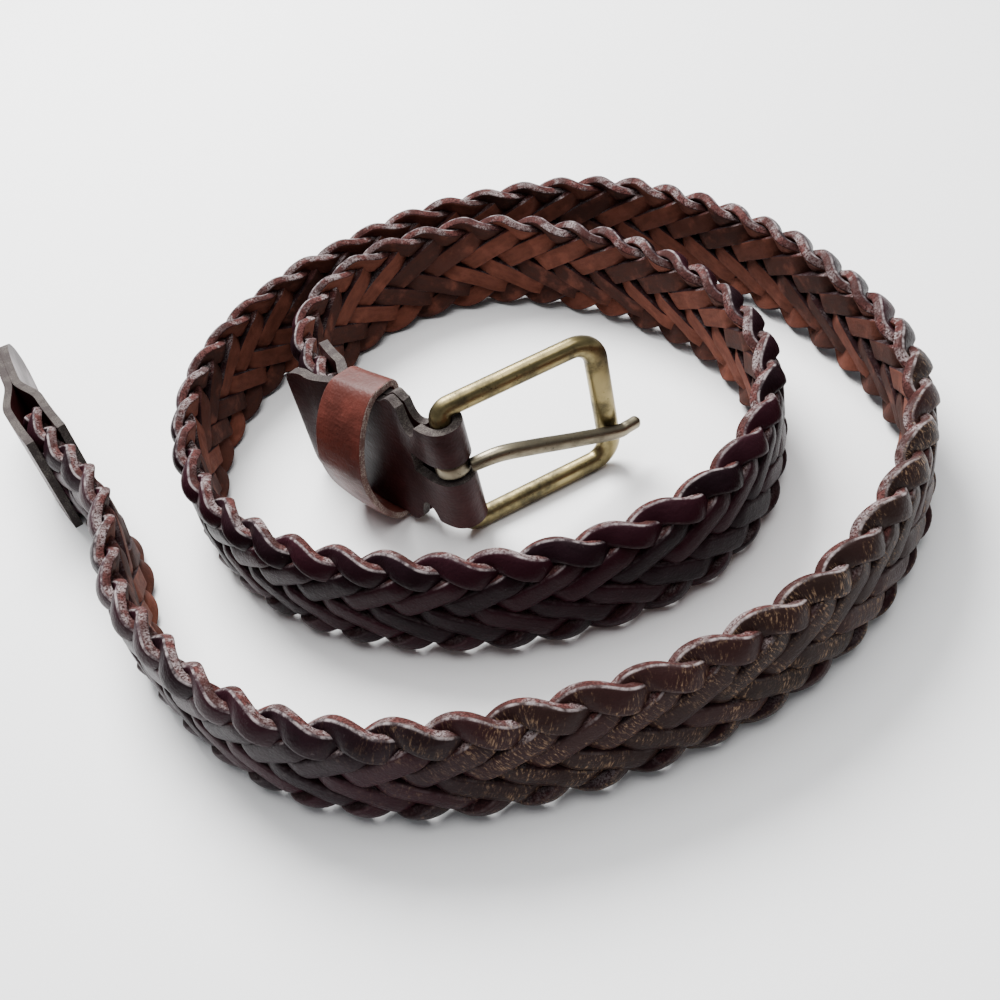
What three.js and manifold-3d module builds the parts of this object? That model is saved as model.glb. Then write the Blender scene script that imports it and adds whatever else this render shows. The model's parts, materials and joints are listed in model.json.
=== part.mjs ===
// Braided leather belt with a brass buckle, standing on its long edge in a loose coil.
// Millimetres, +Z up. The belt's width runs up Z, and its grain face looks out of the coil.
// The origin is under the middle of the whole belt, on the surface that it stands on.

import * as THREE from 'three';
import { mergeVertices } from 'three/addons/utils/BufferGeometryUtils.js';
import Module from 'manifold-3d';

const wasm = await Module();
wasm.setup();

// Braided strap
const BELT_WIDTH = 30;
const BRAID_THICKNESS = 6;
const EDGE_PITCH = 11.9; // from one edge scallop to the next
const SCALLOP_DEPTH = 2.0; // how far the edge dips between two scallops
const EDGE_THICKNESS = 3.6; // the raw strand edges on the rim
const CENTRE_DIP = 0.7; // the hollow line where the slanted strands meet
const SHOULDER = 0.34; // share of the width from the middle to where a face turns to the rim
const SCALLOP_FULLNESS = 1.35; // above 1 the crests are flat
const SCALLOP_POWER = 0.7; // below 1 the crests are round and the dips sharp

// Coil
const COIL_REACH = 120; // unit of the reach column below
const COIL_START_ANGLE = 150; // degrees, where the braid leaves the buckle tab
const TAIL_LENGTH = 80; // free end after the coil's last row
const TAIL_CURL = 20; // degrees that it bends back towards the coil
const COIL_STEP = 30; // degrees between two rows
const COIL_ROWS = [
  { reach: 0.475, note: 'braid leaves the buckle tab' },
  { reach: 0.583, note: 'inner turn, back left' },
  { reach: 0.563, note: 'inner turn, back' },
  { reach: 0.49, note: 'inner turn, back right' },
  { reach: 0.463, note: 'inner turn, right' },
  { reach: 0.495, note: 'inner turn, right' },
  { reach: 0.558, note: 'inner turn, front right' },
  { reach: 0.605, note: 'inner turn, front' },
  { reach: 0.598, note: 'inner turn, front' },
  { reach: 0.605, note: 'inner turn, front left' },
  { reach: 0.643, note: 'inner turn, left' },
  { reach: 0.683, note: 'inner turn, left' },
  { reach: 0.703, note: 'outer turn, back left' },
  { reach: 0.688, note: 'outer turn, back left' },
  { reach: 0.678, note: 'outer turn, back' },
  { reach: 0.693, note: 'outer turn, back right' },
  { reach: 0.68, note: 'outer turn, right' },
  { reach: 0.725, note: 'outer turn, right' },
  { reach: 0.835, note: 'outer turn, right' },
  { reach: 0.893, note: 'outer turn, front right' },
  { reach: 0.92, note: 'outer turn, front' },
  { reach: 0.957, note: 'outer turn, front left' },
  { reach: 0.905, note: 'outer turn, left' },
  { reach: 0.915, note: 'tail leaves the coil' },
];
const COIL_LEAD_IN = 0.2; // growth of reach per row at the first row
const COIL_LEAD_OUT = 0.3; // and at the last

// Buckle tab, a leather strip folded round the buckle's bar
const TAB_THICKNESS = 2.4;
const TAB_WIDTH = 33;
const TAB_FRONT_LENGTH = 51; // bar to the end of the layer on the grain side
const TAB_BACK_LENGTH = 59;
const TAB_PINCH_START = 13; // the two layers lie on each other between these
const TAB_PINCH_END = 33;
const BRAID_TUCK = 43; // bar to the braid's hidden end between the layers
const TAB_CORNER = 5; // rounding of the strip's four corners
const TAB_FLARE = 2.5; // how far the front layer's end stands off
const NOTCH_RADIUS = 3.2; // half-round cuts where the buckle's arms swing
const NOTCH_PLACE = 7.5; // bar to the notch
const TAB_LEAN = 4.5; // degrees that the strip's lower edge kicks out at the keeper
const SLOT_LENGTH = 9; // prong slot, bar to each end
const TAB_HEADING = 139; // degrees, from the bar towards the braid
const BAR_FROM_CENTRE = { x: -17.6, y: -30 }; // bar, seen from the coil's centre
const TAB_BEND = 26; // handles of the tab's curve

// Keeper loop
const KEEPER_WIDTH = 15;
const KEEPER_WALL = 1.8;
const KEEPER_PLACE = 24.8; // bar to the middle of the loop
const KEEPER_BOW = 7.8; // how far its front wall bows out for the belt's tip
const KEEPER_SHOULDER = 1; // how far the front wall's bends lead it out
const KEEPER_CORNER = 1.2; // inside

// Buckle
const FRAME_HEIGHT = 40.5; // along the bar, outside
const FRAME_LENGTH = 46; // across, outside
const BAR_DIAMETER = 5;
const ARM_THICKNESS = 4.4;
const FAR_BAR_WIDTH = 5.8;
const FAR_CORNER = 6; // centre line of the rounded far corners
const BUCKLE_TURN = 58; // degrees that the buckle is swung back out of the tab's line
const PRONG_THICKNESS = 3.4;
const PRONG_OVERHANG = 4.5; // tip past the far bar
const PRONG_SAG = 11; // the tip's drop below the prong's root
const PRONG_WALL = 1.5; // ring round the bar
const PRONG_WIDTH = 3.7;
const PRONG_RAISE = 1.9; // ring above the middle of the bar

// End tab
const END_TAB_LENGTH = 65;
const END_TAB_THICKNESS = 2.2; // each layer
const END_TAB_OVERLAP = 18; // how far it covers the braid's end
const END_TAB_POINT = 16; // length of the rounded point
const END_TAB_TAPER = 14; // from the braid's end to where the layers meet

const GAP = 0.3; // clearance between neighbouring pieces

const rad = THREE.MathUtils.degToRad;
const { smoothstep, lerp } = THREE.MathUtils;
const UP = new THREE.Vector3(0, 0, 1);
const barCentreHeight = FRAME_HEIGHT / 2;
const braidCentreHeight = BELT_WIDTH / 2;
const neckWidth = FRAME_HEIGHT - 2 * BAR_DIAMETER - 4 * GAP;
const foldOffset = BAR_DIAMETER / 2 + GAP + TAB_THICKNESS / 2;
const braidOffset = BRAID_THICKNESS / 2 + GAP + TAB_THICKNESS / 2;
const pinchOffset = TAB_THICKNESS / 2 + GAP / 2;
const farBarPlace = FRAME_LENGTH - BAR_DIAMETER / 2 - FAR_BAR_WIDTH / 2;

// Share of the coil's reach at a turn, a smooth curve through the rows
function coilReach(turn) {
  const last = COIL_ROWS.length - 1;
  const row = Math.min(Math.floor(turn / COIL_STEP), last - 1);
  const t = turn / COIL_STEP - row;
  const from = COIL_ROWS[row].reach;
  const to = COIL_ROWS[row + 1].reach;
  const growth = (index) => {
    if (index === 0) return COIL_LEAD_IN;
    if (index === last) return COIL_LEAD_OUT;
    return (COIL_ROWS[index + 1].reach - COIL_ROWS[index - 1].reach) / 2;
  };
  const rise = t * t * (3 - 2 * t);
  const start = t * (1 - t) * (1 - t);
  const end = t * t * (t - 1);
  return from + (to - from) * rise + growth(row) * start + growth(row + 1) * end;
}

function coilPoint(turn) {
  const reach = coilReach(turn) * COIL_REACH;
  const angle = rad(COIL_START_ANGLE - turn);
  return new THREE.Vector3(Math.cos(angle) * reach, Math.sin(angle) * reach, 0);
}

function headingVector(degrees) {
  return new THREE.Vector3(Math.cos(rad(degrees)), Math.sin(rad(degrees)), 0);
}

// The belt's centre line seen from above: the tab's curve, the coil and the tail
function routePoints() {
  const bar = new THREE.Vector3(BAR_FROM_CENTRE.x, BAR_FROM_CENTRE.y, 0);
  const start = coilPoint(0);
  const startDirection = coilPoint(0.01).sub(start).normalize();
  const tab = new THREE.CubicBezierCurve3(
    bar,
    bar.clone().addScaledVector(headingVector(TAB_HEADING), TAB_BEND),
    start.clone().addScaledVector(startDirection, -TAB_BEND),
    start,
  );
  const points = tab.getPoints(60).slice(0, -1);
  const fullTurn = (COIL_ROWS.length - 1) * COIL_STEP;
  for (let turn = 0; turn <= fullTurn; turn += 1) points.push(coilPoint(turn));
  const direction = coilPoint(fullTurn).sub(coilPoint(fullTurn - 0.01)).normalize();
  const tailSteps = 40;
  const place = coilPoint(fullTurn);
  for (let step = 0; step < tailSteps; step += 1) {
    place.addScaledVector(direction, TAIL_LENGTH / tailSteps);
    direction.applyAxisAngle(UP, -rad(TAIL_CURL) / tailSteps);
    points.push(place.clone());
  }
  return points;
}

// Places along the route by distance from the bar, with the outward (grain side) direction
class Route {
  constructor(points) {
    this.points = points;
    this.distances = [0];
    for (let i = 1; i < points.length; i += 1) {
      this.distances.push(this.distances[i - 1] + points[i].distanceTo(points[i - 1]));
    }
    this.length = this.distances[points.length - 1];
  }

  pointAt(distance) {
    const s = THREE.MathUtils.clamp(distance, 0, this.length);
    let low = 0;
    let high = this.points.length - 1;
    while (high - low > 1) {
      const middle = (low + high) >> 1;
      if (this.distances[middle] <= s) low = middle;
      else high = middle;
    }
    const share = (s - this.distances[low]) / (this.distances[high] - this.distances[low]);
    return this.points[low].clone().lerp(this.points[high], share);
  }

  // Position, direction and outward direction at a distance
  at(distance) {
    const reach = 1.5;
    const along = this.pointAt(distance + reach).sub(this.pointAt(distance - reach)).normalize();
    const out = new THREE.Vector3(-along.y, along.x, 0);
    return { point: this.pointAt(distance), along, out };
  }
}

const route = new Route(routePoints());
const braidStart = BRAID_TUCK;
const braidEnd = route.length - END_TAB_LENGTH + END_TAB_OVERLAP;
const liftStart = KEEPER_PLACE - KEEPER_WIDTH;
const liftEnd = TAB_BACK_LENGTH + BELT_WIDTH;

// Height of the strap's middle: level with the bar at the buckle, on the floor in the coil
function centreHeight(distance) {
  return lerp(barCentreHeight, braidCentreHeight, smoothstep(distance, liftStart, liftEnd));
}

// Sideways lean of the strip: upright at the bar and in the coil, most before the keeper
function leanAt(distance) {
  const rises = smoothstep(distance, 0, KEEPER_PLACE - KEEPER_WIDTH / 2);
  const falls = smoothstep(distance, KEEPER_PLACE - KEEPER_WIDTH / 2, BRAID_TUCK);
  return Math.tan(rad(TAB_LEAN)) * rises * (1 - falls);
}

// A point at a distance along the route, moved out by offset and up by rise from the middle
function strapPoint(distance, offset, rise) {
  const { point, out } = route.at(distance);
  point.addScaledVector(out, offset - rise * leanAt(distance));
  point.z = centreHeight(distance) + rise;
  return point;
}

function signedVolume(position, index) {
  const a = new THREE.Vector3();
  const b = new THREE.Vector3();
  const c = new THREE.Vector3();
  let sum = 0;
  for (let i = 0; i < index.length; i += 3) {
    a.fromArray(position, index[i] * 3);
    b.fromArray(position, index[i + 1] * 3);
    c.fromArray(position, index[i + 2] * 3);
    sum += a.dot(b.cross(c));
  }
  return sum;
}

// A closed skin through rings of points, with end caps or joined end to end
function skin(rings, joined = false) {
  const sides = rings[0].length;
  const position = rings.flat().flatMap((point) => point.toArray());
  const index = [];
  const spans = joined ? rings.length : rings.length - 1;
  for (let i = 0; i < spans; i += 1) {
    const here = i * sides;
    const there = ((i + 1) % rings.length) * sides;
    for (let j = 0; j < sides; j += 1) {
      const next = (j + 1) % sides;
      index.push(here + j, here + next, there + next, here + j, there + next, there + j);
    }
  }
  if (!joined) {
    const lastRing = (rings.length - 1) * sides;
    for (let j = 1; j < sides - 1; j += 1) {
      index.push(0, j + 1, j, lastRing, lastRing + j, lastRing + j + 1);
    }
  }
  if (signedVolume(position, index) < 0) index.reverse();
  const geometry = new THREE.BufferGeometry();
  geometry.setAttribute('position', new THREE.Float32BufferAttribute(position, 3));
  geometry.setIndex(index);
  return geometry;
}

function toSolid(geometry) {
  const bare = geometry.clone();
  bare.deleteAttribute('normal');
  bare.deleteAttribute('uv');
  const merged = mergeVertices(bare, 1e-4);
  return new wasm.Manifold(new wasm.Mesh({
    numProp: 3,
    vertProperties: Float32Array.from(merged.attributes.position.array),
    triVerts: Uint32Array.from(merged.index.array),
  }));
}

function toGeometry(solid) {
  const mesh = solid.getMesh();
  const geometry = new THREE.BufferGeometry();
  geometry.setAttribute('position', new THREE.BufferAttribute(mesh.vertProperties, 3));
  geometry.setIndex(new THREE.BufferAttribute(mesh.triVerts, 1));
  geometry.computeVertexNormals();
  return geometry;
}

function material(name, color, roughness, metalness = 0) {
  return new THREE.MeshStandardMaterial({ name, color, roughness, metalness });
}

function piece(name, geometry, look) {
  geometry.computeVertexNormals();
  const mesh = new THREE.Mesh(geometry, look);
  mesh.name = name;
  return mesh;
}

// Height of a rim scallop, 0 in the dip and 1 on its flat crest
function scallop(phase) {
  const t = phase - Math.floor(phase);
  return Math.min(1, SCALLOP_FULLNESS * Math.sin(Math.PI * t) ** SCALLOP_POWER);
}

// The braid as one band: scalloped rims, a hollow line along the middle of each face
function braidGeometry() {
  const stationsPerPitch = 4;
  const pitches = Math.round((braidEnd - braidStart) / EDGE_PITCH);
  const stations = pitches * stationsPerPitch;
  const half = BRAID_THICKNESS / 2;
  const edge = EDGE_THICKNESS / 2;
  const shoulder = BELT_WIDTH * SHOULDER;
  const rings = [];
  for (let i = 0; i <= stations; i += 1) {
    const distance = braidStart + ((braidEnd - braidStart) * i) / stations;
    const phase = i / stationsPerPitch;
    const top = BELT_WIDTH / 2 - SCALLOP_DEPTH * (1 - scallop(phase));
    const bottom = BELT_WIDTH / 2 - SCALLOP_DEPTH * (1 - scallop(phase + 0.5));
    rings.push([
      strapPoint(distance, -edge, top),
      strapPoint(distance, edge, top),
      strapPoint(distance, half, shoulder),
      strapPoint(distance, half - CENTRE_DIP, 0),
      strapPoint(distance, half, -shoulder),
      strapPoint(distance, edge, -bottom),
      strapPoint(distance, -edge, -bottom),
      strapPoint(distance, -half, -shoulder),
      strapPoint(distance, -half + CENTRE_DIP, 0),
      strapPoint(distance, -half, shoulder),
    ]);
  }
  return skin(rings);
}

// How far a tab layer's middle lies from the strap's centre line
function layerOffset(distance) {
  if (distance < TAB_PINCH_END) {
    return lerp(foldOffset, pinchOffset, smoothstep(distance, 0, TAB_PINCH_START));
  }
  return lerp(pinchOffset, braidOffset, smoothstep(distance, TAB_PINCH_END, BRAID_TUCK));
}

// Half width of the tab: the neck fits inside the buckle, the rest is full width
function tabHalfWidth(distance, layerLength) {
  const share = smoothstep(distance, NOTCH_PLACE - NOTCH_RADIUS, NOTCH_PLACE);
  const width = lerp(neckWidth, TAB_WIDTH, share) / 2;
  const intoCorner = Math.max(0, TAB_CORNER - (layerLength - distance));
  return width - TAB_CORNER + Math.sqrt(TAB_CORNER ** 2 - intoCorner ** 2);
}

// One end of the folded strip, from the layer's free end to the bar
function layerStations(layerLength, side) {
  const stations = [];
  const steps = 26;
  for (let i = 0; i < steps; i += 1) {
    const share = 1 - i / steps;
    const distance = layerLength * share ** 0.9;
    const flare = side > 0 ? TAB_FLARE * smoothstep(distance, BRAID_TUCK, layerLength) : 0;
    const offset = layerOffset(distance) + flare;
    const halfWidth = tabHalfWidth(distance, layerLength + 1e-6);
    const corner = (thick, high) => strapPoint(
      distance,
      side * (offset + (thick * TAB_THICKNESS) / 2),
      high * halfWidth,
    );
    stations.push([corner(-1, -1), corner(1, -1), corner(1, 1), corner(-1, 1)]);
  }
  return stations;
}

// The fold round the bar, from the front layer to the back layer
function foldStations() {
  const { point, along, out } = route.at(0);
  const stations = [];
  const steps = 12;
  for (let i = 0; i <= steps; i += 1) {
    const angle = (Math.PI * i) / steps;
    const across = out.clone().multiplyScalar(Math.cos(angle)).addScaledVector(along, -Math.sin(angle));
    const corner = (thick, high) => {
      const place = foldOffset + (thick * TAB_THICKNESS) / 2;
      const height = barCentreHeight + (high * neckWidth) / 2;
      return point.clone().addScaledVector(across, place).setZ(height);
    };
    stations.push([corner(-1, -1), corner(1, -1), corner(1, 1), corner(-1, 1)]);
  }
  return stations;
}

// A cutter box or cylinder laid out in the tab's own directions at a distance from the bar
function placedAtTab(geometry, distance, height) {
  const { point, along, out } = route.at(distance);
  const basis = new THREE.Matrix4().makeBasis(along, out, UP);
  return geometry.applyMatrix4(basis.setPosition(point.x, point.y, height));
}

function buckleTabGeometry() {
  const rings = [
    ...layerStations(TAB_FRONT_LENGTH, 1),
    ...foldStations(),
    ...layerStations(TAB_BACK_LENGTH, -1).reverse(),
  ];
  const cutDepth = 4 * foldOffset;
  const slotHeight = PRONG_WIDTH + 6 * GAP;
  const slotSize = [2 * SLOT_LENGTH, cutDepth, slotHeight];
  const slot = placedAtTab(new THREE.BoxGeometry(...slotSize), 0, barCentreHeight + PRONG_RAISE);
  let solid = toSolid(skin(rings)).subtract(toSolid(slot));
  for (const side of [-1, 1]) {
    const notch = new THREE.CylinderGeometry(NOTCH_RADIUS, NOTCH_RADIUS, cutDepth, 16);
    const height = centreHeight(NOTCH_PLACE) + (side * TAB_WIDTH) / 2;
    solid = solid.subtract(toSolid(placedAtTab(notch, NOTCH_PLACE, height)));
  }
  return toGeometry(solid);
}

// Outline of the keeper loop in its own plane: x out of the coil, y up. grow is the wall.
function keeperOutline(target, grow) {
  const inside = pinchOffset + TAB_THICKNESS / 2 + 2 * GAP;
  const back = -inside - grow;
  const front = inside + grow;
  const top = TAB_WIDTH / 2 + 2 * GAP + grow;
  const corner = KEEPER_CORNER + grow;
  target.moveTo(back, -top + corner);
  target.absarc(back + corner, -top + corner, corner, Math.PI, 1.5 * Math.PI, false);
  target.lineTo(front - corner, -top);
  const shoulder = front + KEEPER_SHOULDER;
  const belly = front + KEEPER_BOW * 0.9;
  target.bezierCurveTo(shoulder, -top, belly, -top * 0.62, front + KEEPER_BOW, 0);
  target.bezierCurveTo(belly, top * 0.62, shoulder, top, front - corner, top);
  target.lineTo(back + corner, top);
  target.absarc(back + corner, top - corner, corner, 0.5 * Math.PI, Math.PI, false);
  target.closePath();
  return target;
}

// The loop follows the tab's curve: the hollow is cut out of the full form
function keeperForm(grow, overrun) {
  const outline = keeperOutline(new THREE.Path(), grow).getPoints(8).slice(0, -1);
  const steps = 4;
  const length = KEEPER_WIDTH + 2 * overrun;
  const rings = [];
  for (let i = 0; i <= steps; i += 1) {
    const distance = KEEPER_PLACE + length * (i / steps - 0.5);
    rings.push(outline.map(({ x, y }) => strapPoint(distance, x, y)));
  }
  return toSolid(skin(rings));
}

function keeperGeometry() {
  return toGeometry(keeperForm(KEEPER_WALL, 0).subtract(keeperForm(0, KEEPER_WALL)));
}

// Buckle frame in its own directions: x from the bar to the far bar, y back, z along the bar
function frameGeometry() {
  const half = (FRAME_HEIGHT - BAR_DIAMETER) / 2;
  const far = farBarPlace;
  const nearCorner = BAR_DIAMETER / 2 + GAP;
  const stations = [];
  const arc = (cx, cz, radius, fromDegrees, width) => {
    const steps = 5;
    for (let i = 0; i <= steps; i += 1) {
      const angle = rad(fromDegrees + (90 * i) / steps);
      const away = new THREE.Vector3(Math.cos(angle), 0, Math.sin(angle));
      const middle = new THREE.Vector3(cx, 0, cz).addScaledVector(away, radius);
      stations.push({ middle, away, width: width(i / steps) });
    }
  };
  const barToArm = () => BAR_DIAMETER;
  const armToFar = (share) => lerp(BAR_DIAMETER, FAR_BAR_WIDTH, share);
  arc(nearCorner, -half + nearCorner, nearCorner, 180, barToArm);
  arc(far - FAR_CORNER, -half + FAR_CORNER, FAR_CORNER, 270, armToFar);
  arc(far - FAR_CORNER, half - FAR_CORNER, FAR_CORNER, 0, (share) => armToFar(1 - share));
  arc(nearCorner, half - nearCorner, nearCorner, 90, barToArm);
  const sides = 12;
  const rings = stations.map(({ middle, away, width }) => {
    const onBar = Math.abs(away.x + 1) < 1e-6;
    const thickness = onBar ? BAR_DIAMETER : ARM_THICKNESS;
    return Array.from({ length: sides }, (_, j) => {
      const angle = (2 * Math.PI * j) / sides;
      const point = middle.clone().addScaledVector(away, (Math.cos(angle) * width) / 2);
      point.y += (Math.sin(angle) * thickness) / 2;
      return point;
    });
  });
  return skin(rings, true);
}

// Prong: a ring round the bar and an arm that lies on the front of the far bar
function prongGeometry() {
  const inner = BAR_DIAMETER / 2 + GAP;
  const outer = inner + PRONG_WALL;
  const halfHeight = PRONG_WIDTH / 2;
  const profile = [
    [inner, -halfHeight],
    [outer, -halfHeight],
    [outer, halfHeight],
    [inner, halfHeight],
    [inner, -halfHeight],
  ].map(([radius, height]) => new THREE.Vector2(radius, height));
  const ring = new THREE.LatheGeometry(profile, 20).rotateX(Math.PI / 2);
  const rest = -(ARM_THICKNESS / 2 + GAP + PRONG_THICKNESS / 2);
  const tip = (farBarPlace + FAR_BAR_WIDTH / 2 + PRONG_OVERHANG) / farBarPlace;
  const rows = [
    { along: 0.08, out: rest + 0.6, drop: 0, size: 0.9 },
    { along: 0.25, out: rest - 0.9, drop: -0.06, size: 1 },
    { along: 0.45, out: rest - 1.3, drop: 0.14, size: 1 },
    { along: 0.7, out: rest - 0.8, drop: 0.5, size: 0.97 },
    { along: 1, out: rest, drop: 0.92, size: 0.93 },
    { along: (1 + tip) / 2, out: rest + 0.4, drop: 0.97, size: 0.85 },
    { along: tip, out: rest + 1.2, drop: 1, size: 0.55 },
  ];
  const line = new THREE.CatmullRomCurve3(
    rows.map(({ along, out, drop }) => new THREE.Vector3(along * farBarPlace, out, -drop * PRONG_SAG)),
  );
  const steps = 18;
  const sides = 8;
  const rings = [];
  for (let i = 0; i <= steps; i += 1) {
    const t = i / steps;
    const along = line.getTangent(t);
    const up = UP.clone().addScaledVector(along, -along.z).normalize();
    const across = new THREE.Vector3().crossVectors(up, along);
    const rowPlace = t * (rows.length - 1);
    const row = Math.min(Math.floor(rowPlace), rows.length - 2);
    const size = lerp(rows[row].size, rows[row + 1].size, rowPlace - row);
    rings.push(Array.from({ length: sides }, (_, j) => {
      const angle = (2 * Math.PI * (j + 0.5)) / sides;
      return line.getPoint(t)
        .addScaledVector(across, (Math.cos(angle) * PRONG_THICKNESS * size) / 2)
        .addScaledVector(up, (Math.sin(angle) * PRONG_WIDTH * size) / 2);
    }));
  }
  const bore = new THREE.CylinderGeometry(inner, inner, 4 * PRONG_WIDTH, 20).rotateX(Math.PI / 2);
  const solid = toSolid(ring).add(toSolid(skin(rings)).subtract(toSolid(bore)));
  return toGeometry(solid);
}

// End tab: two leather layers over the braid's end, closed and pointed at the tip
function endTabGeometry() {
  const start = route.length - END_TAB_LENGTH;
  const open = BRAID_THICKNESS / 2 + GAP;
  const pocketEnd = END_TAB_OVERLAP + GAP;
  const overrun = 2;
  const halfThickness = (along) => {
    const share = smoothstep(along, pocketEnd, pocketEnd + END_TAB_TAPER);
    return lerp(open + END_TAB_THICKNESS, END_TAB_THICKNESS, share);
  };
  const halfWidth = (along) => {
    const intoPoint = Math.max(0, along - (END_TAB_LENGTH - END_TAB_POINT)) / END_TAB_POINT;
    return (BELT_WIDTH / 2) * Math.sqrt(Math.max(0.02, 1 - intoPoint ** 2));
  };
  const box = (along, thick, high) => {
    const place = Math.min(start + along, route.length);
    return [[-1, -1], [1, -1], [1, 1], [-1, 1]].map(([a, b]) => strapPoint(place, a * thick, b * high));
  };
  const rings = [];
  const steps = 30;
  for (let i = 0; i <= steps; i += 1) {
    const along = END_TAB_LENGTH * (1 - (1 - i / steps) ** 1.3);
    rings.push(box(along, halfThickness(along), halfWidth(along)));
  }
  const pocket = [];
  for (let i = 0; i <= 8; i += 1) {
    pocket.push(box(-overrun + ((pocketEnd + overrun) * i) / 8, open, BELT_WIDTH));
  }
  return toGeometry(toSolid(skin(rings)).subtract(toSolid(skin(pocket))));
}

const braidLeather = material('braid leather', 0x3a2024, 0.5);
const tabLeather = material('tab leather', 0x4c241f, 0.45);
const keeperLeather = material('keeper leather', 0x7a3f30, 0.45);
const brass = material('antique brass', 0x8a7a45, 0.38, 1);

const buckle = new THREE.Group();
buckle.add(
  piece('buckle_frame', frameGeometry(), brass),
  piece('prong', prongGeometry().translate(0, 0, PRONG_RAISE), brass.clone()),
);
buckle.position.set(BAR_FROM_CENTRE.x, BAR_FROM_CENTRE.y, barCentreHeight);
buckle.rotation.z = rad(TAB_HEADING - 180 + BUCKLE_TURN);

const coil = new THREE.Group();
coil.add(
  piece('braid', braidGeometry(), braidLeather),
  piece('buckle_tab', buckleTabGeometry(), tabLeather),
  piece('keeper', keeperGeometry(), keeperLeather),
  piece('end_tab', endTabGeometry(), tabLeather.clone()),
  buckle,
);

// The origin goes under the middle of the belt's bounding box
const belt = new THREE.Group();
belt.add(coil);
belt.updateMatrixWorld(true);
const bounds = new THREE.Box3().setFromObject(belt, true);
const centre = bounds.getCenter(new THREE.Vector3());
coil.position.set(-centre.x, -centre.y, -bounds.min.z);
belt.updateMatrixWorld(true);

export default belt;
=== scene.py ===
"""Looks of a braided leather belt with a brass buckle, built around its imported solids.

The belt stands on its edge in a loose coil. Everything is in metres, in the frame of the solids:
+Z is up, and the grain side of the leather looks out of the coil.
"""

import json
import math

import bmesh
import bpy
import numpy as np
from mathutils import Matrix, Vector


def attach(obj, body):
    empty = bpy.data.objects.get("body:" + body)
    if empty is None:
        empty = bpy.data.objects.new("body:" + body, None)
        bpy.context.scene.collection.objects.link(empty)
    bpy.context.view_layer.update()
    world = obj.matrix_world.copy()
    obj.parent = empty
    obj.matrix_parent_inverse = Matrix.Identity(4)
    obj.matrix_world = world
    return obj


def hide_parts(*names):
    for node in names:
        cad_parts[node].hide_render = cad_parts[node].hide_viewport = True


bl_info = {
    "name": "Braided Belt",
    "version": (1, 0, 0),
    "blender": (4, 5, 0),
    "location": "View3D > Sidebar > Belt",
    "description": "Builds the strands, leather, brass and studio of a coiled braided belt",
    "category": "Add Mesh",
}

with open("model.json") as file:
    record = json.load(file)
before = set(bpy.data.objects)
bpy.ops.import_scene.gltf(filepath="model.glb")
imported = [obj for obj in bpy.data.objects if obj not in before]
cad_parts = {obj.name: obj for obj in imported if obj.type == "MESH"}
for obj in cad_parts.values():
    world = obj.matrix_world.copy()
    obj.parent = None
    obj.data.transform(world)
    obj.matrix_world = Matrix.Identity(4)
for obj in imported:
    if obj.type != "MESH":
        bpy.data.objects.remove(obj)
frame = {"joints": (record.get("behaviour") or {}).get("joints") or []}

MM = 0.001

# Strap
BELT_WIDTH = 30 * MM
BRAID_THICKNESS = 6 * MM
EDGE_PITCH = 11.9 * MM  # from one edge scallop to the next

# Coil, seen from above
COIL_REACH = 120 * MM  # unit of the rows below
COIL_START_ANGLE = 150  # degrees, where the braid leaves the buckle tab
COIL_STEP = 30  # degrees between two rows
COIL_ROWS = (
    0.475, 0.583, 0.563, 0.49, 0.463, 0.495,  # inner turn, from the buckle tab to the right
    0.558, 0.605, 0.598, 0.605, 0.643, 0.683,  # inner turn, front and left
    0.703, 0.688, 0.678, 0.693, 0.68, 0.725,  # outer turn, back and right
    0.835, 0.893, 0.92, 0.957, 0.905, 0.915,  # outer turn, front to the tail
)
COIL_LEAD_IN = 0.2  # growth of reach per row at the first row
COIL_LEAD_OUT = 0.3  # and at the last
TAIL_LENGTH = 80 * MM
TAIL_CURL = 20  # degrees that the tail bends back towards the coil

# Buckle tab
TAB_THICKNESS = 2.4 * MM
TAB_WIDTH = 33 * MM
TAB_FRONT_LENGTH = 51 * MM  # bar to the end of the layer on the grain side
TAB_BACK_LENGTH = 59 * MM
TAB_PINCH_START = 13 * MM  # the two layers lie on each other from here
TAB_PINCH_END = 33 * MM  # to here
BRAID_TUCK = 43 * MM  # bar to the braid's hidden end
TAB_CORNER = 5 * MM  # rounding of the strip's four corners
TAB_FLARE = 2.5 * MM  # how far the front layer's end stands off
NOTCH_RADIUS = 3.2 * MM  # half the width of the cuts where the buckle's arms swing
NOTCH_PLACE = 7.5 * MM  # bar to the middle of a cut
NOTCH_DEPTH = 6 * MM
TAB_LOBE = 1.6 * MM  # bulge of the rim between the notch and the keeper
TAB_LEAN = 4.5  # degrees that the strip's lower edge kicks out at the keeper
SLOT_LENGTH = 9 * MM  # prong slot, bar to each end
TAB_HEADING = 139  # degrees, from the bar towards the braid
BAR_FROM_CENTRE = np.array([-17.6, -30.0]) * MM  # bar, seen from the coil's centre
TAB_BEND = 26 * MM  # handles of the tab's curve
TAB_BEVEL = 0.45 * MM  # softening of its rims
TAB_LOOK = (0.42, 0.45)  # roughness, and depth of the wrinkles

# Keeper loop
KEEPER_WIDTH = 15 * MM
KEEPER_WALL = 1.8 * MM
KEEPER_PLACE = 24.8 * MM  # bar to the middle of the loop
KEEPER_BOW = 7.8 * MM  # how far its front wall bows out
KEEPER_SHOULDER = 1 * MM  # how far the front wall's bends lead it out
KEEPER_HANDLES = (0.9, 0.62)  # of the front wall's curve: shares of the bow and of the half height
KEEPER_CORNER = 1.2 * MM  # inside
KEEPER_BEVEL = 0.4 * MM
KEEPER_LOOK = (0.4, 1)

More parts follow.
